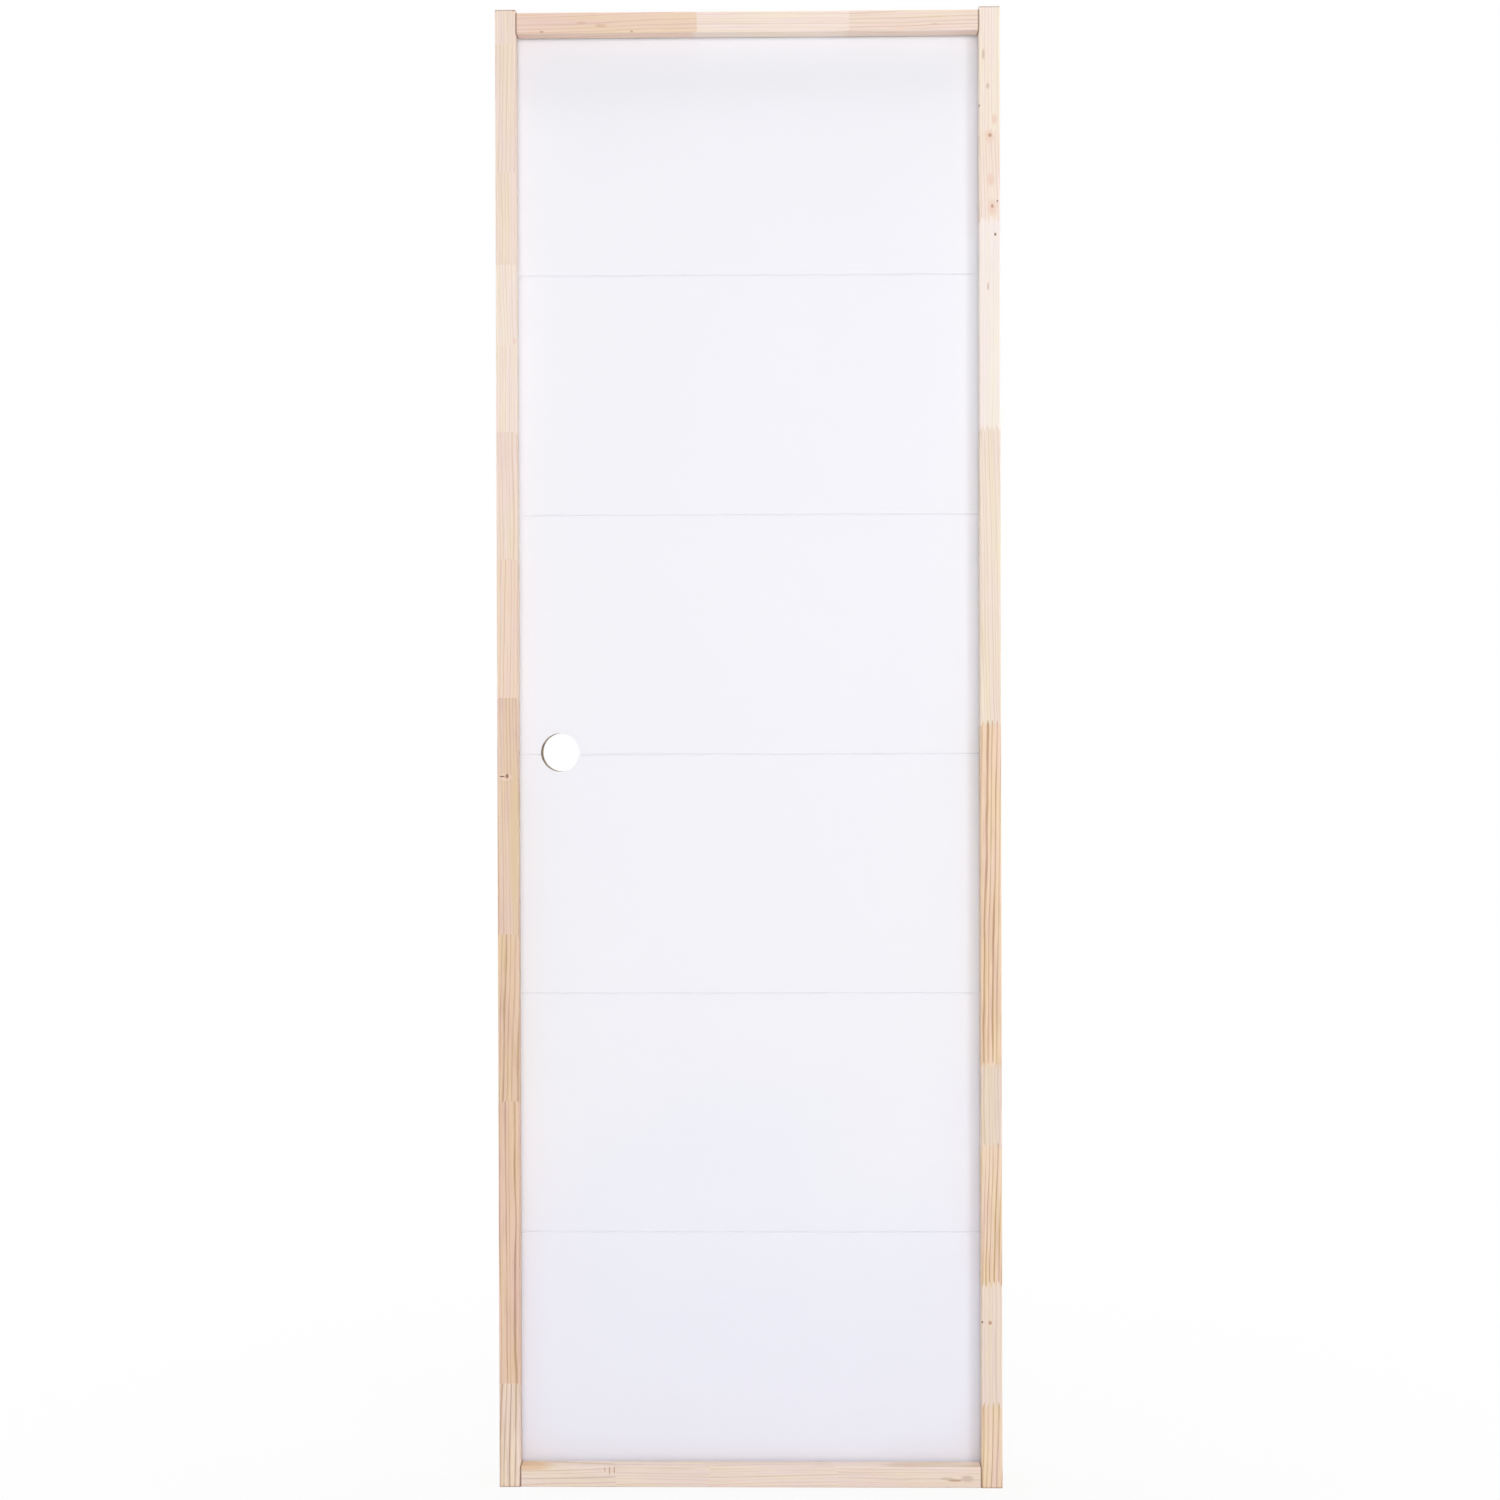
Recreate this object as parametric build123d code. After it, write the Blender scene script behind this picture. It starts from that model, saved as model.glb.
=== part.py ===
from build123d import *
import os
from math import radians, tan

# Prehung door: a rebated pine frame and a hollow leaf of grooved plywood on three butt hinges.
# It is seen from its stop side, the -Y side, and the leaf swings away from there, to +Y.
# X runs along the width, Y through the depth and Z up, in millimetres.
# The origin is the middle of the sill's underside.

# Leaf: two plywood skins on a softwood frame of stiles and rails, hollow between them.
LEAF_WIDTH = 650.0
LEAF_HEIGHT = 2000.0
LEAF_THICKNESS = 35.0
SKIN_THICKNESS = 4.0
STILE_WIDTH = 28.0
RAIL_HEIGHT = 28.0
# The lock edge is planed out of square, narrower at the stop side, so that it swings clear.
LOCK_EDGE_BEVEL_DEGREES = 3.0

# V-grooves across both skins, counted down from the top of the leaf.
GROOVE_COUNT = 5
GROOVE_PITCH = 335.0
GROOVE_WIDTH = 3.0
GROOVE_DEPTH = 1.5

# Lock preparation: a cross bore for the lock, an edge bore for its latch, and a block behind.
LOCK_BORE_DIAMETER = 54.0
LATCH_BORE_DIAMETER = 25.0
LOCK_BACKSET = 60.0
LOCK_HEIGHT_ON_LEAF = 998.0
LOCK_BLOCK_WIDTH = 80.0
LOCK_BLOCK_HEIGHT = 300.0

# Frame: four members of one section, a plank with a rebate that leaves a stop at the front.
MEMBER_FACE = 29.0
STOP_DEPTH = 25.0
STOP_OVER_REBATE = 9.0
ARRIS_RADIUS = 2.0
JAMB_HORN = 4.0

# Running clearances of the leaf in the frame.
EDGE_GAP = 5.0
STOP_GAP = 5.0

# Butt hinges: plates let in flush, knuckles behind the back face, a pin with a button at each end.
HINGE_HEIGHT = 76.0
HINGE_PLATE_REACH = 31.0
HINGE_PLATE_THICKNESS = 2.0
HINGE_CORNER_RADIUS = 6.0
KNUCKLE_WALL_OUTSIDE_PLATE = 1.0
KNUCKLE_COUNT = 5
KNUCKLE_GAP = 0.4
PIN_RADIUS = 3.0
PIN_CLEARANCE = 0.1
PIN_HEAD_RADIUS = 4.5
PIN_HEAD_HEIGHT = 2.5
PIN_HEAD_CHAMFER = 1.0
TOP_HINGE_DROP = 180.0
BOTTOM_HINGE_RISE = 250.0

# Depth stations, from the stop side to the hinge side.
FRAME_DEPTH = STOP_DEPTH + STOP_GAP + LEAF_THICKNESS
FRAME_FRONT = -FRAME_DEPTH / 2
FRAME_BACK = FRAME_DEPTH / 2
STOP_BACK = FRAME_FRONT + STOP_DEPTH
LEAF_FRONT = STOP_BACK + STOP_GAP
LEAF_MIDDLE = LEAF_FRONT + LEAF_THICKNESS / 2
CORE_FRONT = LEAF_FRONT + SKIN_THICKNESS
CORE_BACK = FRAME_BACK - SKIN_THICKNESS

# Width stations, out from the middle of the doorway.
LEAF_EDGE = LEAF_WIDTH / 2
REBATE_FACE = LEAF_EDGE + EDGE_GAP
STOP_FACE = REBATE_FACE - STOP_OVER_REBATE
FRAME_EDGE = STOP_FACE + MEMBER_FACE
STILE_INSIDE = LEAF_EDGE - STILE_WIDTH

# Height stations, up from the floor.
LEAF_BOTTOM = MEMBER_FACE - STOP_OVER_REBATE + EDGE_GAP
LEAF_TOP = LEAF_BOTTOM + LEAF_HEIGHT
HEAD_TOP = LEAF_TOP + EDGE_GAP - STOP_OVER_REBATE + MEMBER_FACE
JAMB_TOP = HEAD_TOP + JAMB_HORN
LOCK_X = -LEAF_EDGE + LOCK_BACKSET
LOCK_Z = LEAF_BOTTOM + LOCK_HEIGHT_ON_LEAF
GROOVE_LEVELS = [LEAF_TOP - GROOVE_PITCH * (i + 1) for i in range(GROOVE_COUNT)]

# Hinge axis: in the middle of the gap, one knuckle radius behind the back face.
KNUCKLE_RADIUS = EDGE_GAP / 2 + HINGE_PLATE_THICKNESS + KNUCKLE_WALL_OUTSIDE_PLATE
AXIS_X = LEAF_EDGE + EDGE_GAP / 2
AXIS_Y = FRAME_BACK + KNUCKLE_RADIUS
PLATE_FRONT = AXIS_Y - HINGE_PLATE_REACH
TOP_HINGE = LEAF_TOP - TOP_HINGE_DROP - HINGE_HEIGHT
BOTTOM_HINGE = LEAF_BOTTOM + BOTTOM_HINGE_RISE
HINGE_FEET = {
    "upper": TOP_HINGE,
    "middle": (TOP_HINGE + BOTTOM_HINGE) / 2,
    "lower": BOTTOM_HINGE,
}


def block(x_range, y_range, z_range):
    """A rectangular block between two stations along each axis."""
    spans = (x_range, y_range, z_range)
    size = [high - low for low, high in spans]
    middle = [(high + low) / 2 for low, high in spans]
    return Pos(*middle) * Box(*size)


def rebated_section(place):
    """The section of a frame member, with the arrises that are not rebated eased.

    place turns (distance in from the outer face, depth station) into a point of the sketch.
    """
    thin = MEMBER_FACE - STOP_OVER_REBATE
    corners = [
        (0, FRAME_FRONT),
        (MEMBER_FACE, FRAME_FRONT),
        (MEMBER_FACE, STOP_BACK),
        (thin, STOP_BACK),
        (thin, FRAME_BACK),
        (0, FRAME_BACK),
    ]
    section = make_face(Polyline(*[place(*corner) for corner in corners], close=True))
    eased = [corners[0], corners[1], corners[4], corners[5]]
    vertices = [section.vertices().sort_by_distance(place(*corner))[0] for corner in eased]
    return fillet(vertices, ARRIS_RADIUS)


def jamb(side):
    """An upright, full height past the head; side is -1 for the lock jamb, 1 for the hinge jamb."""
    section = rebated_section(lambda inward, depth: (side * (FRAME_EDGE - inward), depth))
    return extrude(section, amount=JAMB_TOP, dir=(0, 0, 1))


def cross_member(outer_level, inward_sign):
    """A head or sill between the jambs, its ends stepped round the jambs' stops."""
    section = rebated_section(lambda inward, depth: (depth, outer_level + inward_sign * inward))
    member = extrude(Plane.YZ * section, amount=REBATE_FACE, both=True)
    level = sorted((outer_level, outer_level + inward_sign * MEMBER_FACE))
    for side in (-1, 1):
        end = sorted((side * STOP_FACE, side * REBATE_FACE))
        member -= block(end, (FRAME_FRONT, STOP_BACK), level)
    return member


def plate_blank(plate_x, foot, back):
    """A hinge plate or its mortise, from its rounded front corners to a depth station."""
    top = foot + HINGE_HEIGHT
    corners = [(PLATE_FRONT, foot), (back, foot), (back, top), (PLATE_FRONT, top)]
    outline = make_face(Polyline(*corners, close=True))
    rounded = [outline.vertices().sort_by_distance(corners[index])[0] for index in (0, 3)]
    outline = fillet(rounded, HINGE_CORNER_RADIUS)
    low, high = plate_x
    return Pos(low, 0, 0) * extrude(Plane.YZ * outline, amount=high - low, dir=(1, 0, 0))


def hinge_recess(plate_x):
    """The shallow mortises that let the three hinge plates in flush."""
    return [plate_blank(plate_x, foot, AXIS_Y) for foot in HINGE_FEET.values()]


def leaf_blank():
    """The whole leaf as one prism, with its bevelled lock edge."""
    bevel = LEAF_THICKNESS * tan(radians(LOCK_EDGE_BEVEL_DEGREES))
    plan = [
        (-LEAF_EDGE + bevel, LEAF_FRONT),
        (LEAF_EDGE, LEAF_FRONT),
        (LEAF_EDGE, FRAME_BACK),
        (-LEAF_EDGE, FRAME_BACK),
    ]
    face = make_face(Polyline(*plan, close=True))
    return Pos(0, 0, LEAF_BOTTOM) * extrude(face, amount=LEAF_HEIGHT, dir=(0, 0, 1))


def grooves(face_y, inward_sign):
    """V-grooves across one skin, from the face at face_y inwards."""
    cuts = []
    for level in GROOVE_LEVELS:
        vee = [
            (face_y, level - GROOVE_WIDTH / 2),
            (face_y, level + GROOVE_WIDTH / 2),
            (face_y + inward_sign * GROOVE_DEPTH, level),
        ]
        profile = make_face(Polyline(*vee, close=True))
        cuts.append(extrude(Plane.YZ * profile, amount=LEAF_WIDTH, both=True))
    return cuts


def leaf_pieces():
    """The skins, stiles, rails and lock block of the leaf, by node name."""
    blank = leaf_blank()
    wide = (-LEAF_EDGE, LEAF_EDGE)
    core = (CORE_FRONT, CORE_BACK)
    tall = (LEAF_BOTTOM, LEAF_TOP)
    between_stiles = (-STILE_INSIDE, STILE_INSIDE)
    block_x = (-STILE_INSIDE, -STILE_INSIDE + LOCK_BLOCK_WIDTH)
    block_z = (LOCK_Z - LOCK_BLOCK_HEIGHT / 2, LOCK_Z + LOCK_BLOCK_HEIGHT / 2)

    lock_bore = Pos(LOCK_X, LEAF_MIDDLE, LOCK_Z) * Rot(90, 0, 0) * Cylinder(
        LOCK_BORE_DIAMETER / 2, 2 * LEAF_THICKNESS
    )
    latch_bore = Pos(LOCK_X - LOCK_BACKSET / 2, LEAF_MIDDLE, LOCK_Z) * Rot(0, 90, 0) * Cylinder(
        LATCH_BORE_DIAMETER / 2, LOCK_BACKSET
    )
    recess = hinge_recess((LEAF_EDGE - HINGE_PLATE_THICKNESS, LEAF_EDGE))

    front_skin = blank & block(wide, (LEAF_FRONT, CORE_FRONT), tall)
    back_skin = blank & block(wide, (CORE_BACK, FRAME_BACK), tall)
    lock_stile = blank & block((-LEAF_EDGE, -STILE_INSIDE), core, tall)
    hinge_stile = block((STILE_INSIDE, LEAF_EDGE), core, tall)
    return {
        "front_skin": front_skin - grooves(LEAF_FRONT, 1) - lock_bore,
        "back_skin": back_skin - grooves(FRAME_BACK, -1) - lock_bore - recess,
        "lock_stile": lock_stile - latch_bore,
        "hinge_stile": hinge_stile - recess,
        "top_rail": block(between_stiles, core, (LEAF_TOP - RAIL_HEIGHT, LEAF_TOP)),
        "bottom_rail": block(between_stiles, core, (LEAF_BOTTOM, LEAF_BOTTOM + RAIL_HEIGHT)),
        "lock_block": block(block_x, core, block_z) - lock_bore - latch_bore,
    }


def hinge_plate(plate_x, foot, first_knuckle):
    """One flap of a hinge: a plate in its mortise, with every second knuckle from first_knuckle."""
    flap = plate_blank(plate_x, foot, FRAME_BACK)
    pitch = HINGE_HEIGHT / KNUCKLE_COUNT
    for index in range(first_knuckle, KNUCKLE_COUNT, 2):
        low = foot + index * pitch + (KNUCKLE_GAP / 2 if index > 0 else 0)
        high = foot + (index + 1) * pitch - (KNUCKLE_GAP / 2 if index < KNUCKLE_COUNT - 1 else 0)
        barrel = Pos(AXIS_X, AXIS_Y, (low + high) / 2) * Cylinder(KNUCKLE_RADIUS, high - low)
        flap += block(plate_x, (FRAME_BACK, AXIS_Y), (low, high)) + barrel
    bore = Cylinder(PIN_RADIUS + PIN_CLEARANCE, 2 * HINGE_HEIGHT)
    return flap - Pos(AXIS_X, AXIS_Y, foot + HINGE_HEIGHT / 2) * bore


def hinge_pin(foot):
    """The pin through all the knuckles, with a button at each end."""
    pin = Pos(0, 0, HINGE_HEIGHT / 2) * Cylinder(PIN_RADIUS, HINGE_HEIGHT)
    for level, outside in ((-PIN_HEAD_HEIGHT / 2, -1), (HINGE_HEIGHT + PIN_HEAD_HEIGHT / 2, 1)):
        button = Pos(0, 0, level) * Cylinder(PIN_HEAD_RADIUS, PIN_HEAD_HEIGHT)
        rims = button.edges().filter_by(GeomType.CIRCLE).sort_by(Axis.Z)
        rim = rims[-1] if outside > 0 else rims[0]
        pin += chamfer(rim, PIN_HEAD_CHAMFER)
    return Pos(AXIS_X, AXIS_Y, foot) * pin


pieces = {
    "lock_jamb": jamb(-1),
    "hinge_jamb": jamb(1) - hinge_recess((REBATE_FACE, REBATE_FACE + HINGE_PLATE_THICKNESS)),
    "head": cross_member(HEAD_TOP, -1),
    "sill": cross_member(0.0, 1),
}
pieces.update(leaf_pieces())
for place, hinge_foot in HINGE_FEET.items():
    frame_plate_x = (REBATE_FACE, REBATE_FACE + HINGE_PLATE_THICKNESS)
    door_plate_x = (LEAF_EDGE - HINGE_PLATE_THICKNESS, LEAF_EDGE)
    pieces[f"{place}_hinge_frame_plate"] = hinge_plate(frame_plate_x, hinge_foot, 0)
    pieces[f"{place}_hinge_door_plate"] = hinge_plate(door_plate_x, hinge_foot, 1)
    pieces[f"{place}_hinge_pin"] = hinge_pin(hinge_foot)

os.makedirs("parts", exist_ok=True)
for name, solid in pieces.items():
    export_step(solid, f"parts/{name}.step")
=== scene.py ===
import math

import bmesh
import bpy
from mathutils import Matrix, Vector


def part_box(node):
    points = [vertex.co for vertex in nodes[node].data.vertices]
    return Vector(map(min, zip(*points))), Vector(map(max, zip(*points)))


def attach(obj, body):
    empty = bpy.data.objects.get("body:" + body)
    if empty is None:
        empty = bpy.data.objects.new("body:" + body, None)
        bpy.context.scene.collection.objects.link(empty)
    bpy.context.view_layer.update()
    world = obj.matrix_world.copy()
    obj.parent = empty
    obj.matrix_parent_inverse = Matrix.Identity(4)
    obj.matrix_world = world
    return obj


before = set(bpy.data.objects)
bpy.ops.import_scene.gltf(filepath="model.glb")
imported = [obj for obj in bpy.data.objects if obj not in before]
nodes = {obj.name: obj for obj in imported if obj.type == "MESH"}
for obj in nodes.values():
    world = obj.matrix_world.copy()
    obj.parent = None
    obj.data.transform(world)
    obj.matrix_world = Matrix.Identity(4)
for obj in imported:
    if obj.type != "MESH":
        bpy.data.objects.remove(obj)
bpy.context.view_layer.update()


# Frame members: two jambs, a head and a sill of one rebated section, planed from finger-jointed
# pine and left bare. Short blocks are glued end to end, so tone and rings jump at every joint,
# and the head and sill butt against the jambs with a thin dark line of painted shadow between them.
MM = 0.001
X, Y, Z = range(3)
MIXED = 2


def linear(hex_colour):
    """An sRGB hex colour as linear red, green, blue and alpha."""
    channels = [int(hex_colour[i : i + 2], 16) / 255 for i in (1, 3, 5)]
    return [c / 12.92 if c <= 0.04045 else ((c + 0.055) / 1.055) ** 2.4 for c in channels] + [1.0]


def put(tree, kind, inputs=None, **settings):
    """Adds a node with its settings. An input takes a value, a socket or a node's first output.

    Inputs go by name or number. A map range takes its value at 0, the range that it comes from at
    1 and 2, and the range that it goes to at 3 and 4. A colour mix takes its share at 0 and its
    colours at 6 and 7, and gives the result at its output MIXED.
    """
    made = tree.nodes.new(kind)
    for setting, value in settings.items():
        setattr(made, setting, value)
    for socket, value in (inputs or {}).items():
        if isinstance(value, bpy.types.Node):
            value = value.outputs[0]
        if isinstance(value, bpy.types.NodeSocket):
            tree.links.new(value, made.inputs[socket])
        else:
            made.inputs[socket].default_value = value
    return made


def new_material(name):
    """An empty node material, its tree and its output node."""
    material = bpy.data.materials.new(name)
    material.use_nodes = True
    material.node_tree.nodes.clear()
    return material, material.node_tree, put(material.node_tree, "ShaderNodeOutputMaterial")


def fill_bands(ramp_node, bands):
    """Gives a colour ramp hard-edged bands, each from its position up to the next."""
    ramp = ramp_node.color_ramp
    ramp.interpolation = "CONSTANT"
    ramp.elements.remove(ramp.elements[1])
    ramp.elements[0].position, ramp.elements[0].color = bands[0]
    for position, colour in bands[1:]:
        ramp.elements.new(position).color = colour


# A joint is a row of wedge-shaped fingers, cut across one side of the section. Each block comes
# from another place in a tree, drawn in strides that don't fall into step.
FINGER_PITCH = 6.5 * MM
FINGER_LENGTH = 11.0 * MM
DRAW_STRIDES = (0.618, 0.755, 0.570)


def joined_blocks(tree, along, across_fingers, low_end, high_end, blocks):
    """The earlywood, latewood and ring spacing of each block, and three drawn numbers as a colour."""
    zigzag = put(tree, "ShaderNodeMath", {0: across_fingers, 1: FINGER_PITCH / 2}, operation="PINGPONG")
    fingered = put(
        tree, "ShaderNodeMath", {0: zigzag, 1: 2 * FINGER_LENGTH / FINGER_PITCH, 2: along},
        operation="MULTIPLY_ADD",
    )
    share = put(tree, "ShaderNodeMapRange", {0: fingered, 1: low_end, 2: high_end, 3: 0.0, 4: 1.0})
    feet = [(foot * MM - low_end) / (high_end - low_end) for foot, _ in blocks]
    ramps = []
    for colours in (
        [linear(early) for _, (early, late, spacing) in blocks],
        [linear(late) for _, (early, late, spacing) in blocks],
        [(spacing, spacing, spacing, 1.0) for _, (early, late, spacing) in blocks],
        [[count * stride % 1.0 for stride in DRAW_STRIDES] + [1.0] for count in range(len(blocks))],
    ):
        ramps.append(put(tree, "ShaderNodeValToRGB", {0: share}))
        fill_bands(ramps[-1], list(zip(feet, colours)))
    return ramps


# The saw passes beside the pith, so rings run as near-straight lines on the front and as long
# flames on the sides. They darken softly through each year, and some years are weak.
PITH_ASIDE = 60.0 * MM
PITH_SPREAD = (60.0 * MM, 90.0 * MM, 0.0)
PITH_LEAN = 0.06
RING_WANDER = 7.0 * MM
UNEVEN = 14.0 * MM
UNEVEN_RINGS = 1.6
MIDSUMMER = 0.25
AUTUMN = 0.5
WEAK_YEAR = 0.4


def growth_rings(tree, lie, along, middle, spacing, chance, blotch):
    """The latewood lines of rings round a pith that lies to one side of a block and leans a little."""
    flat = put(
        tree, "ShaderNodeVectorMath", {0: lie, 1: (1.0, 1.0, 0.0), 2: (PITH_ASIDE - middle, 0.0, 0.0)},
        operation="MULTIPLY_ADD",
    )
    aside = put(
        tree, "ShaderNodeVectorMath", {0: chance, 1: PITH_SPREAD, 2: flat}, operation="MULTIPLY_ADD",
    )
    draw = put(tree, "ShaderNodeSeparateColor", {0: chance})
    slope = put(
        tree, "ShaderNodeMapRange",
        {0: draw.outputs["Blue"], 1: 0.0, 2: 1.0, 3: -PITH_LEAN / 2, 4: PITH_LEAN / 2},
    )
    lean = put(tree, "ShaderNodeMath", {0: slope, 1: along}, operation="MULTIPLY")
    leaning = put(tree, "ShaderNodeCombineXYZ", {0: lean})
    from_pith = put(tree, "ShaderNodeVectorMath", {0: aside, 1: leaning}, operation="ADD")
    radius = put(tree, "ShaderNodeVectorMath", {0: from_pith}, operation="LENGTH").outputs["Value"]
    wandering = put(
        tree, "ShaderNodeMath", {0: blotch, 1: RING_WANDER, 2: radius}, operation="MULTIPLY_ADD",
    )
    even = put(tree, "ShaderNodeMath", {0: wandering, 1: spacing}, operation="DIVIDE")
    growth = put(tree, "ShaderNodeTexNoise", {"W": radius, "Scale": 1 / UNEVEN}, noise_dimensions="1D")
    rings = put(
        tree, "ShaderNodeMath", {0: growth, 1: UNEVEN_RINGS, 2: even}, operation="MULTIPLY_ADD",
    )
    season = put(tree, "ShaderNodeMath", {0: rings, 1: AUTUMN}, operation="PINGPONG")
    line = put(
        tree, "ShaderNodeMapRange", {0: season, 1: MIDSUMMER, 2: AUTUMN, 3: 0.0, 4: 1.0},
        interpolation_type="SMOOTHSTEP",
    )
    year = put(tree, "ShaderNodeMath", {0: rings}, operation="FLOOR")
    weather = put(tree, "ShaderNodeTexWhiteNoise", {"W": year}, noise_dimensions="1D")
    strength = put(
        tree, "ShaderNodeMapRange", {0: weather.outputs["Value"], 1: 0.0, 2: 1.0, 3: WEAK_YEAR, 4: 1.0},
    )
    return put(tree, "ShaderNodeMath", {0: line, 1: strength}, operation="MULTIPLY")


# Tones of knots, stains, resin and the dark of a crack, whose tone also paints the lines of shade
# at members' ends. A mark fades out over its outer half.
KNOT = "#BE967B"
BLUSH = "#EACFBF"
CRACK_AND_GAP_SHADE = "#80604A"
NICK = "#C6A58D"
SMUDGE = "#D5BFAD"
WHORL = "#D9B9A2"
RESIN = "#E2C3A2"
OLIVE = "#DEC4A2"
MARK_EDGE = 2.0


def with_marks(tree, wood, object_place, front, marks):
    """The wood with knots, stains and cracks, small ellipsoids that are centred on the front."""
    for (x, z), half_size, tone in marks:
        spot = put(
            tree, "ShaderNodeMapping",
            {
                "Vector": object_place,
                "Location": (x * MM, front, z * MM),
                "Scale": [half * MM for half in half_size],
            },
            vector_type="TEXTURE",
        )
        shape = put(tree, "ShaderNodeTexGradient", {"Vector": spot}, gradient_type="SPHERICAL")
        solid = put(
            tree, "ShaderNodeMath", {0: shape.outputs["Fac"], 1: MARK_EDGE},
            operation="MULTIPLY", use_clamp=True,
        )
        marked = put(tree, "ShaderNodeMix", {0: solid, 6: wood, 7: linear(tone)}, data_type="RGBA")
        wood = marked.outputs[MIXED]
    return wood


# The stop is the front of the section, and a member's ends step back beside the stop that it meets.
STOP_DEPTH = 25.0 * MM
# The painted line of shade at a member's ends: its width, and the outer part where it is full.
END_SHADE_LINE = 2.1 * MM
END_SHADE_LINE_WHOLE = END_SHADE_LINE / 3


def with_painted_end_shade(tree, wood, place, run, low, high, step, shade_strength):
    """The wood with a painted line of shade at both ends of the length, a step shorter in front."""
    behind_stop = put(
        tree, "ShaderNodeMath", {0: place.outputs[Y], 1: low.y + STOP_DEPTH}, operation="GREATER_THAN",
    )
    half = put(
        tree, "ShaderNodeMath", {0: behind_stop, 1: step * MM, 2: (high[run] - low[run]) / 2 - step * MM},
        operation="MULTIPLY_ADD",
    )
    centred = put(
        tree, "ShaderNodeMath", {0: place.outputs[run], 1: (low[run] + high[run]) / 2},
        operation="SUBTRACT",
    )
    reach = put(tree, "ShaderNodeMath", {0: centred}, operation="ABSOLUTE")
    to_end = put(tree, "ShaderNodeMath", {0: half, 1: reach}, operation="SUBTRACT")
    end_shade_share = put(
        tree, "ShaderNodeMapRange", {0: to_end, 1: END_SHADE_LINE_WHOLE, 2: END_SHADE_LINE, 3: shade_strength, 4: 0.0},
    )
    end_shaded = put(tree, "ShaderNodeMix", {0: end_shade_share, 6: wood, 7: linear(CRACK_AND_GAP_SHADE)}, data_type="RGBA")
    return end_shaded.outputs[MIXED]


# Noises are sized across, through and along the grain. Real fibres are finer than these, which are
# as coarse as they need to be to show. Streaks lean to the pink of heartwood or sapwood's yellow.
BLOTCH = (25.0 * MM, 25.0 * MM, 180.0 * MM)
FIBRE = (1.3 * MM, 1.3 * MM, 50.0 * MM)
STREAK = (9.0 * MM, 9.0 * MM, 120.0 * MM)
STREAK_TINT = (0.0, 0.012, -0.028)
BLOCK_STRIDE = (7.0, 7.0, 7.0)
NOISE_LOW = 0.3
NOISE_HIGH = 0.7
BLOTCH_PALE = -0.13
BLOTCH_DARK = 0.19
FIBRE_PALE = -0.12
FIBRE_DARK = 0.22
FIBRE_BUMP = 0.3
FIBRE_RISE = 0.12 * MM
LINE_WEIGHT = 0.95
EARLY_ROUGHNESS = 0.66
LATE_ROUGHNESS = 0.52
END_GRAIN = "#DFC9B3"
SIDE_ON = 0.7
END_ON = 0.9
PINE_IOR = 1.5


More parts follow.
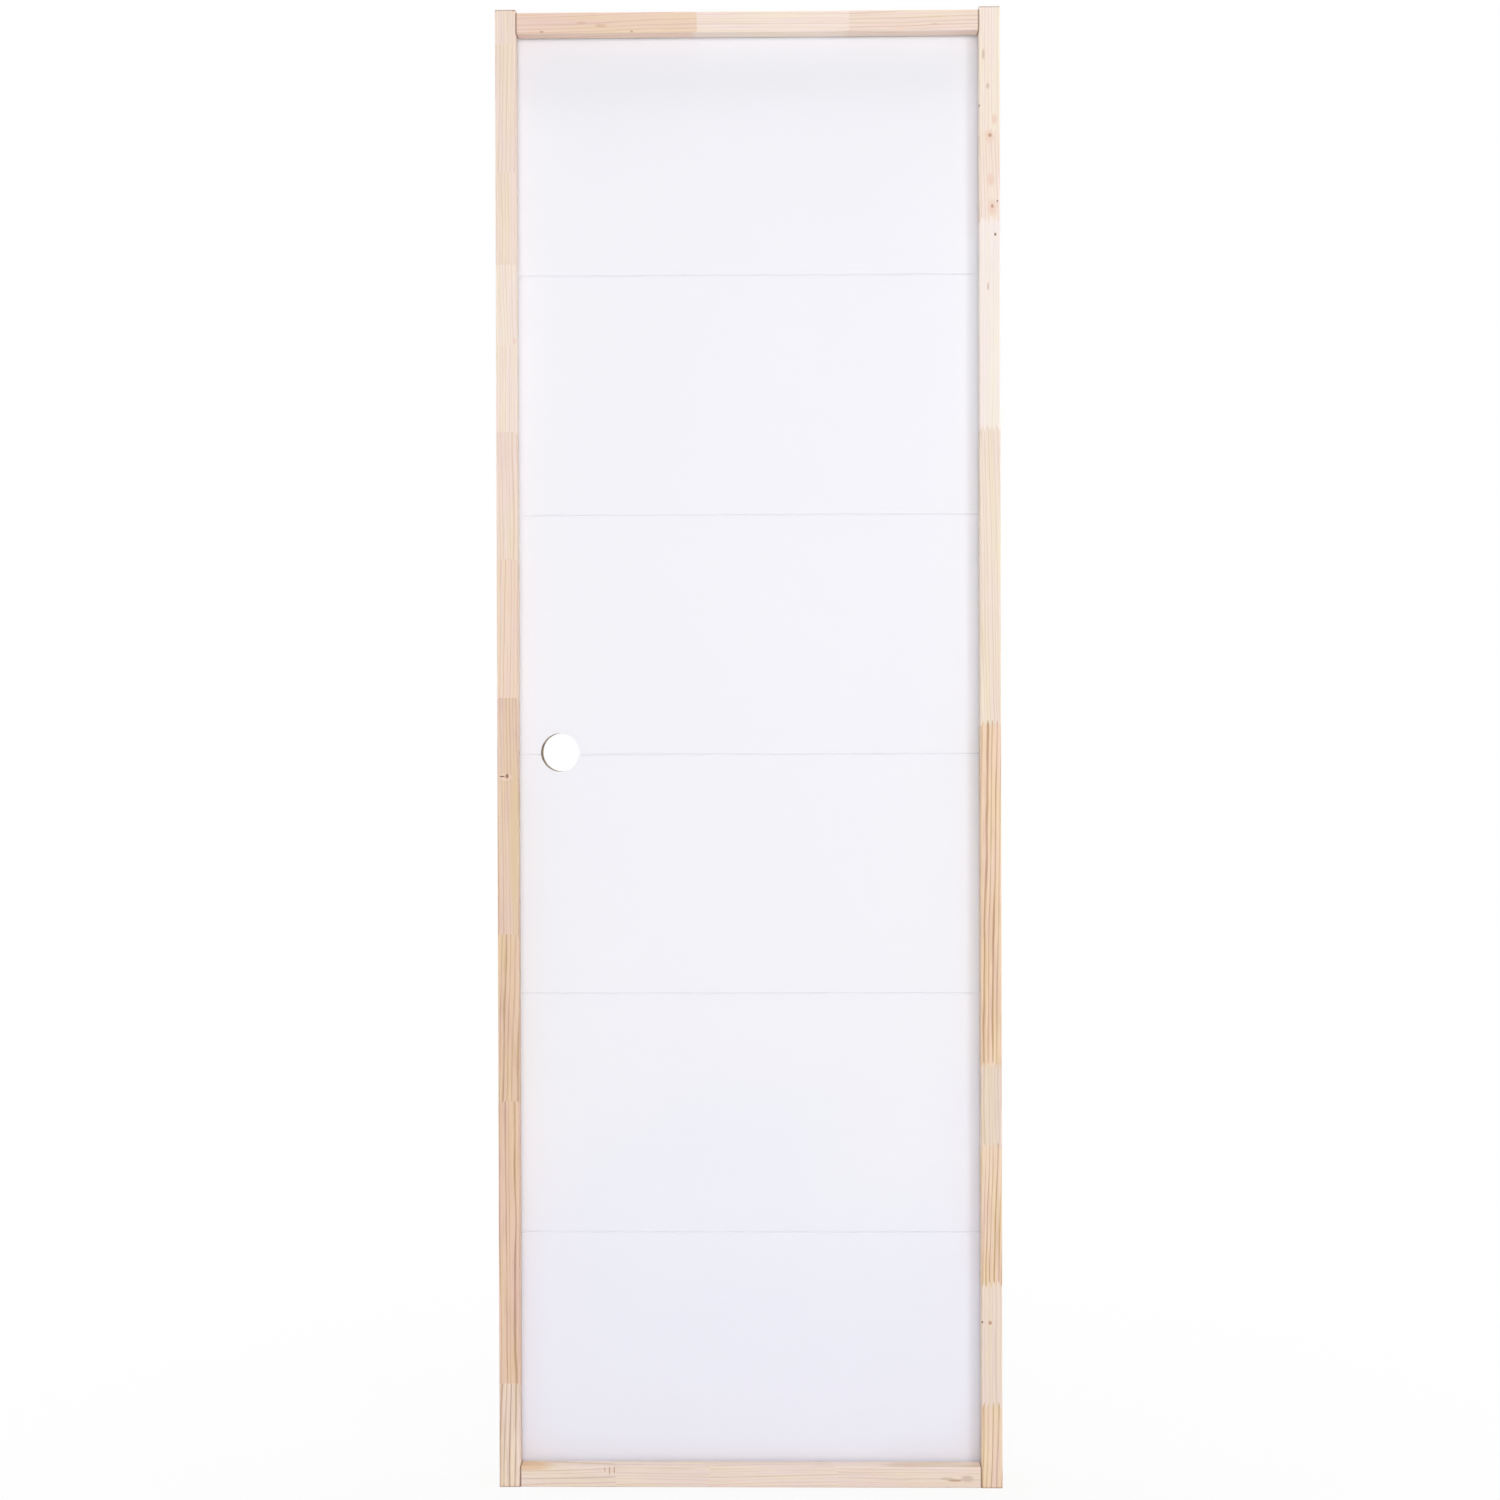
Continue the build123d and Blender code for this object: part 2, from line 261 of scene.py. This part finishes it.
def finger_jointed_pine(node, run, finger_axis, blocks, marks=(), step=0.0, end_shade=0.0):
    """Planed, bare pine: dull and pale, striped by its rings, with end grain darker than its faces.

    run is the axis of the length, and finger_axis the one that the fingers repeat on. In
    millimetres, blocks lists each block's low end and its tones, and marks lists places (x, z),
    half sizes (x, y, z) and tones of knots and stains on the front. step is how much the length
    shortens in front of the stop's back, and the last argument how dark the painted line of shade
    at its ends is.
    """
    material, tree, output = new_material("pine_" + node)
    low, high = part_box(node)
    across = Z if run == X else X
    coordinates = put(tree, "ShaderNodeTexCoord")
    place = put(tree, "ShaderNodeSeparateXYZ", {0: coordinates.outputs["Object"]})
    lie = put(
        tree, "ShaderNodeCombineXYZ",
        {0: place.outputs[across], 1: place.outputs[Y], 2: place.outputs[run]},
    )
    earlywood, latewood, spacing, chance = joined_blocks(
        tree, place.outputs[run], place.outputs[finger_axis], low[run], high[run], blocks,
    )

    # Rings, blotches and fibres shift the balance of the two woods.
    block_lie = put(
        tree, "ShaderNodeVectorMath", {0: chance, 1: BLOCK_STRIDE, 2: lie}, operation="MULTIPLY_ADD",
    )
    blotch_lie = put(tree, "ShaderNodeVectorMath", {0: block_lie, 1: BLOTCH}, operation="DIVIDE")
    blotch = put(tree, "ShaderNodeTexNoise", {"Vector": blotch_lie, "Scale": 1.0, "Detail": 2.0})
    fibre_lie = put(tree, "ShaderNodeVectorMath", {0: block_lie, 1: FIBRE}, operation="DIVIDE")
    fibre = put(tree, "ShaderNodeTexNoise", {"Vector": fibre_lie, "Scale": 1.0, "Detail": 2.0})
    blotched = put(
        tree, "ShaderNodeMapRange",
        {0: blotch, 1: NOISE_LOW, 2: NOISE_HIGH, 3: BLOTCH_PALE, 4: BLOTCH_DARK},
    )
    fibred = put(
        tree, "ShaderNodeMapRange", {0: fibre, 1: NOISE_LOW, 2: NOISE_HIGH, 3: FIBRE_PALE, 4: FIBRE_DARK},
    )
    figure = put(tree, "ShaderNodeMath", {0: fibred, 1: blotched}, operation="ADD")
    middle = (low[across] + high[across]) / 2
    lines = growth_rings(tree, lie, place.outputs[run], middle, spacing, chance, blotch)
    grain = put(
        tree, "ShaderNodeMath", {0: lines, 1: LINE_WEIGHT, 2: figure},
        operation="MULTIPLY_ADD", use_clamp=True,
    )
    balanced = put(tree, "ShaderNodeMix", {0: grain, 6: earlywood, 7: latewood}, data_type="RGBA")

    # Streaks tint the wood, and marks and painted lines of shade at the ends lie over it.
    streak_lie = put(tree, "ShaderNodeVectorMath", {0: block_lie, 1: STREAK}, operation="DIVIDE")
    streak = put(tree, "ShaderNodeTexNoise", {"Vector": streak_lie, "Scale": 1.0, "Detail": 1.0})
    to_yellow = put(tree, "ShaderNodeMapRange", {0: streak, 1: NOISE_LOW, 2: NOISE_HIGH, 3: -1.0, 4: 1.0})
    streaked = put(
        tree, "ShaderNodeVectorMath", {0: to_yellow, 1: STREAK_TINT, 2: balanced.outputs[MIXED]},
        operation="MULTIPLY_ADD",
    )
    wood = with_marks(tree, streaked.outputs[0], coordinates.outputs["Object"], low.y, marks)
    sides = with_painted_end_shade(tree, wood, place, run, low, high, step, end_shade) if end_shade else wood

    # Open pores make a cut end darker and browner.
    facing = put(tree, "ShaderNodeSeparateXYZ", {0: coordinates.outputs["Normal"]})
    end_on = put(tree, "ShaderNodeMath", {0: facing.outputs[run]}, operation="ABSOLUTE")
    cut_end = put(tree, "ShaderNodeMapRange", {0: end_on, 1: SIDE_ON, 2: END_ON, 3: 0.0, 4: 1.0})
    end_grain = put(
        tree, "ShaderNodeMix", {0: 1.0, 6: wood, 7: linear(END_GRAIN)},
        data_type="RGBA", blend_type="MULTIPLY",
    )
    faced = put(
        tree, "ShaderNodeMix", {0: cut_end, 6: sides, 7: end_grain.outputs[MIXED]}, data_type="RGBA",
    )
    roughness = put(
        tree, "ShaderNodeMapRange", {0: grain, 1: 0.0, 2: 1.0, 3: EARLY_ROUGHNESS, 4: LATE_ROUGHNESS},
    )
    bump = put(tree, "ShaderNodeBump", {"Strength": FIBRE_BUMP, "Distance": FIBRE_RISE, "Height": fibre})
    shader = put(
        tree, "ShaderNodeBsdfPrincipled",
        {"Base Color": faced.outputs[MIXED], "Roughness": roughness, "Normal": bump, "IOR": PINE_IOR},
    )
    tree.links.new(shader.outputs[0], output.inputs["Surface"])
    return material


def dress(node, material):
    """Gives a solid its finish."""
    nodes[node].data.materials.clear()
    nodes[node].data.materials.append(material)


# Blocks differ in tone and in growth: earlywood, latewood and the spacing of the rings.
PALE = ("#F2E8E0", "#EADBD0", 4.2 * MM)
IVORY = ("#F2E4D8", "#E3CFBD", 4.2 * MM)
CREAM = ("#F1E1D4", "#DFC8B5", 4.2 * MM)
SAND = ("#EEDBCF", "#DDC4B1", 4.2 * MM)
SHELL = ("#EDD9CB", "#D9BDA8", 4.6 * MM)
PEACH = ("#E9CFBD", "#DBBBA6", 4.6 * MM)
PINK = ("#EBD4C3", "#D6B49A", 4.6 * MM)
ROSE = ("#E5CBB9", "#C8A489", 4.6 * MM)
STRAW = ("#ECDDCE", "#D9C2AA", 4.2 * MM)
BEIGE = ("#E6D3C5", "#D4BAA5", 4.6 * MM)
FAWN = ("#E9D7CA", "#DAC3B1", 4.6 * MM)
CHALK = ("#EEDBCE", "#DCC3AF", 4.2 * MM)
BRAN = ("#EEDCCE", "#D8BEAB", 5.2 * MM)
STRIPED = ("#E4C8AD", "#B99473", 6.2 * MM)
TAWNY = ("#E4C5AE", "#B79175", 6.2 * MM)
WEATHERED = ("#EFDACA", "#B08A70", 5.6 * MM)
AMBER = ("#EBD0B6", "#BA9370", 6.2 * MM)
HONEY = ("#ECD4BC", "#BE956B", 5.2 * MM)
OAT = ("#EDD5BD", "#C29B79", 5.6 * MM)

# The jambs' ends carry a thin painted line of shade, contact shade at the foot and the same at
# the top, and the head's and sill's ends a darker painted line of shade in the butt joint. Behind
# the stops the head and sill reach further, into the jambs' rebates.
JAMB_END_SHADE = 0.5
JOINT_SHADE = 0.9
REBATE = (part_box("head")[1].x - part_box("hinge_jamb")[0].x) / MM
dress(
    "lock_jamb",
    finger_jointed_pine(
        "lock_jamb", run=Z, finger_axis=Y, end_shade=JAMB_END_SHADE,
        blocks=[
            (0, WEATHERED), (144, TAWNY), (532, STRIPED), (768, ROSE), (1097, PINK), (1284, SHELL),
            (1464, CREAM), (1586, IVORY), (1700, SAND), (1826, SAND), (2000, SAND),
        ],
        marks=[
            ((-326, 905), (8, 20, 150), OLIVE), ((-338, 989), (10, 6, 6), BLUSH),
            ((-343, 990), (4.6, 4, 1.3), CRACK_AND_GAP_SHADE), ((-336.5, 990), (3.4, 4, 4.4), KNOT),
            ((-336, 991), (1.6, 4, 3.4), CRACK_AND_GAP_SHADE), ((-324, 1595), (3, 4, 5), BLUSH),
            ((-324, 2053), (1.6, 4, 1.6), KNOT),
        ],
    ),
)
dress(
    "hinge_jamb",
    finger_jointed_pine(
        "hinge_jamb", run=Z, finger_axis=X, end_shade=JAMB_END_SHADE,
        blocks=[
            (0, OAT), (113, FAWN), (281, HONEY), (478, BEIGE), (593, AMBER), (1064, STRAW),
            (1475, PALE), (1764, CREAM), (1880, IVORY),
        ],
        marks=[
            ((327, 1988), (2.4, 4, 9), SMUDGE), ((333, 1944), (3, 4, 5), SMUDGE),
            ((321, 1917), (1.6, 4, 2.4), CRACK_AND_GAP_SHADE), ((342, 1898), (5, 6, 9), BLUSH),
            ((335, 1874), (8, 6, 12), BLUSH), ((336, 1876), (3, 4, 3.4), KNOT),
            ((337, 1815), (7, 6, 11), BLUSH), ((339, 1776), (8, 6, 14), BLUSH),
            ((339, 1778), (2.4, 4, 3.4), KNOT), ((346, 1785), (1.4, 4, 2), CRACK_AND_GAP_SHADE),
            ((343, 1739), (1.8, 4, 2.6), CRACK_AND_GAP_SHADE), ((333, 1667), (1.6, 4, 7), SMUDGE),
            ((322, 231), (1.8, 4, 2.2), CRACK_AND_GAP_SHADE), ((333, 230), (3, 4, 3.6), KNOT),
            ((333, 159), (2, 4, 3), BLUSH),
        ],
    ),
)
dress(
    "head",
    finger_jointed_pine(
        "head", run=X, finger_axis=Y, step=REBATE, end_shade=JOINT_SHADE,
        blocks=[(-330, PEACH), (-70, CREAM), (140, SHELL)],
        marks=[
            ((-285, 2023), (4, 4, 1.8), NICK), ((-230, 2035), (9, 6, 2.6), WHORL),
            ((-203, 2031), (10, 6, 3), WHORL), ((-160, 2023), (3, 4, 1.6), NICK),
            ((211, 2024), (10, 6, 2.6), BLUSH), ((260, 2030), (7, 6, 1.8), SMUDGE),
        ],
    ),
)
dress(
    "sill",
    finger_jointed_pine(
        "sill", run=X, finger_axis=Y, step=REBATE, end_shade=JOINT_SHADE,
        blocks=[(-330, BRAN), (-190, BRAN), (-58, CHALK), (120, CHALK)],
        marks=[
            ((-312, 29), (42, 60, 8), RESIN), ((-203, 24.5), (1.0, 4, 4), NICK),
            ((-196.5, 23.5), (1.3, 4, 8), NICK), ((-190, 24), (1.3, 4, 7), NICK),
            ((273, 13), (13, 6, 2.4), SMUDGE), ((284, 10.5), (13, 6, 2.2), NICK),
            ((301, 13), (11, 6, 6), SMUDGE),
        ],
    ),
)

# Corner screws: zinc-plated countersunk screws with a cross recess, two at each corner, driven
# through the jambs into the ends of the head and of the sill. Their heads are a hair proud.
ROLLED = (4.0 * MM, 4.0 * MM, 0.6 * MM)
ROLLED_BUMP = 0.1
ROLLED_RISE = 0.05 * MM
ZINC_SMOOTH = 0.34
ZINC_ROUGH = 0.5


def zinc_plate(name, dark, light):
    """Zinc plating over rolled steel: a soft grey gloss, with a rolled grain drawn coarse to show."""
    material, tree, output = new_material(name)
    coordinates = put(tree, "ShaderNodeTexCoord")
    rolled_lie = put(
        tree, "ShaderNodeVectorMath", {0: coordinates.outputs["Object"], 1: ROLLED}, operation="DIVIDE",
    )
    rolled = put(tree, "ShaderNodeTexNoise", {"Vector": rolled_lie, "Scale": 1.0, "Detail": 3.0})
    tone = put(tree, "ShaderNodeMix", {0: rolled, 6: linear(dark), 7: linear(light)}, data_type="RGBA")
    roughness = put(
        tree, "ShaderNodeMapRange",
        {0: rolled, 1: NOISE_LOW, 2: NOISE_HIGH, 3: ZINC_SMOOTH, 4: ZINC_ROUGH},
    )
    bump = put(
        tree, "ShaderNodeBump", {"Strength": ROLLED_BUMP, "Distance": ROLLED_RISE, "Height": rolled},
    )
    shader = put(
        tree, "ShaderNodeBsdfPrincipled",
        {"Base Color": tone.outputs[MIXED], "Metallic": 1.0, "Roughness": roughness, "Normal": bump},
    )
    tree.links.new(shader.outputs[0], output.inputs["Surface"])
    return material


zinc = zinc_plate("zinc_plated_steel", "#9DA0A0", "#C3C5C3")

# A cross recess is deep and dark. The heads here are only as thick as their rims, so a darker
# zinc paints the shade of that depth.
recess = zinc_plate("zinc_in_shadow", "#4C4D4D", "#6B6C6B")

# The recess's sizes are shares of the head's radius. Each screw stops at another angle.
HEAD_RADIUS = 3.9 * MM
HEAD_TAPER = 0.88
HEAD_RISE = 0.5 * MM
HEAD_SUNK = 0.5 * MM
HEAD_SEGMENTS = 24
RECESS_RIM = 0.2
RECESS_ARM = 0.52
RECESS_HALF_WIDTH = 0.13
RECESS_DEPTH = 0.4 * MM
SCREW_TWIST = 0.9
TINY = 1e-6


def screw_head(form, place, outward, twist):
    """Adds one screw head that lies at a place on a face and looks outward."""
    made = bmesh.new()
    bmesh.ops.create_cone(
        made, cap_ends=True, segments=HEAD_SEGMENTS, radius1=HEAD_RADIUS, radius2=HEAD_RADIUS * HEAD_TAPER,
        depth=HEAD_RISE + HEAD_SUNK, matrix=Matrix.Translation((0, 0, (HEAD_RISE - HEAD_SUNK) / 2)),
    )
    top = max(made.faces, key=lambda face: face.calc_center_median().z)
    bmesh.ops.inset_individual(made, faces=[top], thickness=HEAD_RADIUS * RECESS_RIM)
    for corner in top.verts:
        turn = math.atan2(corner.co.y, corner.co.x)
        arm, side = sorted((abs(math.cos(turn)), abs(math.sin(turn))), reverse=True)
        reach = HEAD_RADIUS * min(RECESS_ARM / arm, RECESS_HALF_WIDTH / max(side, TINY))
        corner.co.x, corner.co.y = reach * math.cos(turn), reach * math.sin(turn)
    walls = bmesh.ops.inset_individual(made, faces=[top], thickness=0.0, depth=-RECESS_DEPTH)["faces"]
    # The recess's floor and walls take the darker zinc: painted shade.
    for face in [top, *walls]:
        face.material_index = 1
    bmesh.ops.transform(
        made, verts=made.verts,
        matrix=Matrix.Translation(place) @ Vector(outward).to_track_quat("Z", "Y").to_matrix().to_4x4()
        @ Matrix.Rotation(twist, 4, "Z"),
    )
    loose = bpy.data.meshes.new("screw_head")
    made.to_mesh(loose)
    made.free()
    form.from_mesh(loose)
    bpy.data.meshes.remove(loose)


def add_screws(name, body, spots):
    """Joins a set of screw heads into one piece that rides on a body."""
    form = bmesh.new()
    for count, (place, outward) in enumerate(spots):
        screw_head(form, place, outward, twist=count * SCREW_TWIST)
    mesh = bpy.data.meshes.new(name)
    form.to_mesh(mesh)
    form.free()
    mesh.materials.append(zinc)
    # The second slot is the darker zinc, painted shade in the recesses.
    mesh.materials.append(recess)
    piece = bpy.data.objects.new(name, mesh)
    bpy.context.scene.collection.objects.link(piece)
    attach(piece, body)


CORNER_SCREW_DEPTHS = (-16.0 * MM, 14.0 * MM)
corner_spots = []
for jamb, side, outer_corner in (("lock_jamb", -1, 0), ("hinge_jamb", 1, 1)):
    wall_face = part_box(jamb)[outer_corner].x
    for member in ("head", "sill"):
        low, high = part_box(member)
        for depth in CORNER_SCREW_DEPTHS:
            corner_spots.append(((wall_face, depth, (low.z + high.z) / 2), (side, 0, 0)))
add_screws("corner_screws", "frame", corner_spots)

# Core of the leaf: stiles, rails and a lock block of the same joined pine, planed, of a lower
# grade and left bare. Only their outer edges show, and the walls of the two bores. The lock
# block's middle third, where the bores pass, is greyer and darker: painted shade in the bores.
CORE = ("#DCC3A6", "#A98560", 4.6 * MM)
DULL = ("#CDB196", "#A08062", 4.2 * MM)
# Greyer, darker tones: painted shade for the walls of the bores.
BORE_SHADE = ("#BCAA98", "#8F7B69", 4.2 * MM)
for core, run, middle_tones in (
    ("lock_stile", Z, DULL),
    ("hinge_stile", Z, DULL),
    ("lock_block", Z, BORE_SHADE),
    ("top_rail", X, DULL),
    ("bottom_rail", X, DULL),
):
    low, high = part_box(core)
    thirds = [(low[run] + (high[run] - low[run]) * third / 3) / MM for third in range(3)]
    blocks = list(zip(thirds, (CORE, middle_tones, CORE)))
    dress(core, finger_jointed_pine(core, run=run, finger_axis=Y, blocks=blocks))

# Skins of the leaf: 4 mm plywood glued on both sides, roller-painted satin white on the outside.
# The plies are bare at the edges of the leaf and in the wall of the lock bore. The front's white
# is a little cooler near its foot, with a soft, wandering edge: a painted cast of cooler light.
SKIN = 4.0 * MM
# The plies are a little darker and greyer than bare plies: partly their own colour, partly painted shade
# for the wall of the lock bore.
PLIES = ((0.0, "#C6B49C"), (0.3, "#948069"), (0.7, "#BFAC93"))
CLOUD = 350.0 * MM
CLOUD_DARK = "#EDEDF3"
CLOUD_LIGHT = "#F0F0F5"
COOL_WANDER = 600.0 * MM
COOL_WHOLE = 550.0 * MM
COOL_GONE = 850.0 * MM
STIPPLE = 2.5 * MM
STIPPLE_BUMP = 0.08
STIPPLE_RISE = 0.1 * MM
SATIN_SMOOTH = 0.42
SATIN_ROUGH = 0.5
PAINT_IOR = 1.48
EDGE_TURN = 0.4
FACE_TURN = 0.5


def painted_plywood(name, outer, inner, foot_light_cast):
    """Satin paint with a faint roller stipple, drawn coarse to show, and bare plies on the edges."""
    material, tree, output = new_material(name)
    coordinates = put(tree, "ShaderNodeTexCoord")
    place = put(tree, "ShaderNodeSeparateXYZ", {0: coordinates.outputs["Object"]})

    # Paint covers what looks out, the sloping sides of the grooves too.
    facing = put(tree, "ShaderNodeSeparateXYZ", {0: coordinates.outputs["Normal"]})
    outward = put(tree, "ShaderNodeMath", {0: facing.outputs[Y]}, operation="ABSOLUTE")
    painted = put(tree, "ShaderNodeMapRange", {0: outward, 1: EDGE_TURN, 2: FACE_TURN, 3: 0.0, 4: 1.0})
    cloud = put(
        tree, "ShaderNodeTexNoise",
        {"Vector": coordinates.outputs["Object"], "Scale": 1 / CLOUD, "Detail": 2.0},
    )
    white = put(
        tree, "ShaderNodeMix", {0: cloud, 6: linear(CLOUD_DARK), 7: linear(CLOUD_LIGHT)}, data_type="RGBA",
    )
    # The white turns cooler near the foot: a painted cast of cooler light.
    height = put(
        tree, "ShaderNodeMath", {0: cloud, 1: COOL_WANDER, 2: place.outputs[Z]}, operation="MULTIPLY_ADD",
    )
    cool_light_cast = put(tree, "ShaderNodeMapRange", {0: height, 1: COOL_WHOLE, 2: COOL_GONE, 3: 1.0, 4: 0.0})
    paint = put(
        tree, "ShaderNodeMix", {0: cool_light_cast, 6: white.outputs[MIXED], 7: linear(foot_light_cast)}, data_type="RGBA",
    )

    # Plies follow the depth from the outer face.
    through = put(tree, "ShaderNodeMapRange", {0: place.outputs[Y], 1: outer, 2: inner, 3: 0.0, 4: 1.0})
    plies = put(tree, "ShaderNodeValToRGB", {0: through})
    fill_bands(plies, [(share, linear(tone)) for share, tone in PLIES])
    face = put(tree, "ShaderNodeMix", {0: painted, 6: plies, 7: paint.outputs[MIXED]}, data_type="RGBA")

    stipple = put(
        tree, "ShaderNodeTexNoise",
        {"Vector": coordinates.outputs["Object"], "Scale": 1 / STIPPLE, "Detail": 1.0},
    )
    roughness = put(
        tree, "ShaderNodeMapRange",
        {0: cloud, 1: NOISE_LOW, 2: NOISE_HIGH, 3: SATIN_SMOOTH, 4: SATIN_ROUGH},
    )
    bump = put(
        tree, "ShaderNodeBump", {"Strength": STIPPLE_BUMP, "Distance": STIPPLE_RISE, "Height": stipple},
    )
    shader = put(
        tree, "ShaderNodeBsdfPrincipled",
        {"Base Color": face.outputs[MIXED], "Roughness": roughness, "Normal": bump, "IOR": PAINT_IOR},
    )
    tree.links.new(shader.outputs[0], output.inputs["Surface"])
    return material


for skin, outer_corner, inward, foot_light_cast in (
    ("front_skin", 0, 1, "#ECECF6"),
    ("back_skin", 1, -1, "#EEEEF4"),
):
    outer_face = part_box(skin)[outer_corner].y
    dress(skin, painted_plywood("painted_" + skin, outer_face, outer_face + inward * SKIN, foot_light_cast))

# Butt hinges: three of pressed steel, zinc plated, with five knuckles on a loose pin. One plate is
# let into the jamb and the other into the leaf's edge, each held by three countersunk screws.
EDGE_GAP = 5.0 * MM
END_SCREW_INSET = 12.0 * MM
END_SCREW_FROM_EDGE = 8.0 * MM
MIDDLE_SCREW_FROM_EDGE = 15.0 * MM
HINGES = ("upper", "middle", "lower")
leaf_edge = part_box("hinge_stile")[1].x
for kind, body, plate_face, outward in (
    ("frame_plate", "frame", leaf_edge + EDGE_GAP, -1),
    ("door_plate", "leaf", leaf_edge, 1),
):
    plate_spots = []
    for hinge in HINGES:
        plate = f"{hinge}_hinge_{kind}"
        dress(plate, zinc)
        low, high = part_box(plate)
        for height, from_edge in (
            (low.z + END_SCREW_INSET, END_SCREW_FROM_EDGE),
            ((low.z + high.z) / 2, MIDDLE_SCREW_FROM_EDGE),
            (high.z - END_SCREW_INSET, END_SCREW_FROM_EDGE),
        ):
            plate_spots.append(((plate_face, low.y + from_edge, height), (outward, 0, 0)))
    add_screws(f"{kind}_screws", body, plate_spots)
for hinge in HINGES:
    dress(f"{hinge}_hinge_pin", zinc)

# Floor: a plain, matt, pale sheet that the door stands on. The camera sees it as white as the
# room, and so do metal and glass, but for a little of the shadow that is left near the door.
# Its sizes are in metres.
FLOOR_SIZE = 16.0
FLOOR_GREY = "#E6E6E6"
WHITE = (1.0, 1.0, 1.0, 1.0)
SHADOW_NEAR = 0.3
SHADOW_FAR = 1.6
SHADOW_SHARE = 0.14


def seen_directly(tree):
    """1 for rays that come straight from the camera, metal or glass, and 0 for scattered light."""
    rays = put(tree, "ShaderNodeLightPath")
    mirrored = put(
        tree, "ShaderNodeMath",
        {0: rays.outputs["Is Camera Ray"], 1: rays.outputs["Is Glossy Ray"]}, operation="MAXIMUM",
    )
    return put(
        tree, "ShaderNodeMath", {0: mirrored, 1: rays.outputs["Is Transmission Ray"]}, operation="MAXIMUM",
    )


floor_form = bmesh.new()
bmesh.ops.create_grid(floor_form, x_segments=1, y_segments=1, size=FLOOR_SIZE / 2)
floor_mesh = bpy.data.meshes.new("floor")
floor_form.to_mesh(floor_mesh)
floor_form.free()
floor = bpy.data.objects.new("floor", floor_mesh)
bpy.context.scene.collection.objects.link(floor)
floor_paint, floor_tree, floor_output = new_material("pale_floor")
floor_place = put(floor_tree, "ShaderNodeTexCoord").outputs["Object"]
from_door = put(floor_tree, "ShaderNodeVectorMath", {0: floor_place}, operation="LENGTH")
whiteness = put(
    floor_tree, "ShaderNodeMapRange",
    {0: from_door.outputs["Value"], 1: SHADOW_NEAR, 2: SHADOW_FAR, 3: 1.0 - SHADOW_SHARE, 4: 1.0},
)
shown = put(
    floor_tree, "ShaderNodeMath", {0: seen_directly(floor_tree), 1: whiteness}, operation="MULTIPLY",
)
lit = put(floor_tree, "ShaderNodeBsdfDiffuse", {"Color": linear(FLOOR_GREY)})
glow = put(floor_tree, "ShaderNodeEmission", {"Color": WHITE, "Strength": 1.0})
floor_mix = put(floor_tree, "ShaderNodeMixShader", {0: shown, 1: lit, 2: glow})
floor_tree.links.new(floor_mix.outputs[0], floor_output.inputs["Surface"])
floor_mesh.materials.append(floor_paint)

# Light: a white room, a soft light in front, another from the hinge side, and fills for the top,
# the back and the sides. Only the softboxes at the sides show in metal, as bright bands on the
# hinges' barrels. Each has its place, width and height in metres, and its watts.
ROOM_LIGHT = 0.3
DOOR_MIDDLE = Vector((0.0, 0.0, 1.03))
world = bpy.data.worlds.new("white_room")
bpy.context.scene.world = world
world.use_nodes = True
room = world.node_tree
room.nodes.clear()
room_level = put(
    room, "ShaderNodeMapRange", {0: seen_directly(room), 1: 0.0, 2: 1.0, 3: ROOM_LIGHT, 4: 1.0},
)
walls = put(room, "ShaderNodeBackground", {"Color": WHITE, "Strength": room_level})
put(room, "ShaderNodeOutputWorld", {"Surface": walls})
for name, place, width, height, watts, shows_in_metal in (
    ("front_softbox", (0.0, -4.4, 2.0), 1.6, 1.3, 64, False),
    ("hinge_side_front_softbox", (2.8, -5.2, 1.9), 1.6, 1.4, 73, False),
    ("ceiling_softbox", (0.0, -0.5, 6.0), 2.4, 2.4, 100, False),
    ("back_softbox", (-0.8, 4.2, 1.9), 2.0, 2.0, 82, False),
    ("hinge_side_softbox", (3.8, 0.6, 1.6), 2.2, 2.6, 58, True),
    ("lock_side_softbox", (-3.8, 0.6, 1.6), 2.2, 2.6, 58, True),
):
    lamp = bpy.data.lights.new(name, "AREA")
    lamp.shape = "RECTANGLE"
    lamp.size = width
    lamp.size_y = height
    lamp.energy = watts
    softbox = bpy.data.objects.new(name, lamp)
    softbox.location = place
    softbox.rotation_euler = (DOOR_MIDDLE - softbox.location).to_track_quat("-Z", "Y").to_euler()
    softbox.visible_camera = False
    softbox.visible_glossy = shows_in_metal
    bpy.context.scene.collection.objects.link(softbox)

# Camera: it looks at the stop side nearly square on, from a degree towards the hinge side and a
# little above the middle of the door. The view's width and the distance are in metres, measured
# at the frame's face, and the angles in degrees.
SENSOR = 36.0
VIEW_WIDTH = 2.0823
DISTANCE = 3.365
VIEW_AZIMUTH = 0.95
VIEW_ELEVATION = 0.37
VIEW_ROLL = -0.15
AIM = Vector((0.0017, -0.0325, 1.0260))
turn = math.radians(VIEW_AZIMUTH)
rise = math.radians(VIEW_ELEVATION)
away = Vector((math.sin(turn) * math.cos(rise), -math.cos(turn) * math.cos(rise), math.sin(rise)))
camera_data = bpy.data.cameras.new("camera")
camera_data.sensor_width = SENSOR
camera_data.lens = SENSOR * DISTANCE / VIEW_WIDTH
camera = bpy.data.objects.new("camera", camera_data)
bpy.context.scene.collection.objects.link(camera)
camera.location = AIM + away * DISTANCE
level = (-away).to_track_quat("-Z", "Y").to_matrix().to_4x4()
camera.rotation_euler = (level @ Matrix.Rotation(math.radians(VIEW_ROLL), 4, "Z")).to_euler()
bpy.context.scene.camera = camera
bpy.context.scene.view_settings.view_transform = "Standard"
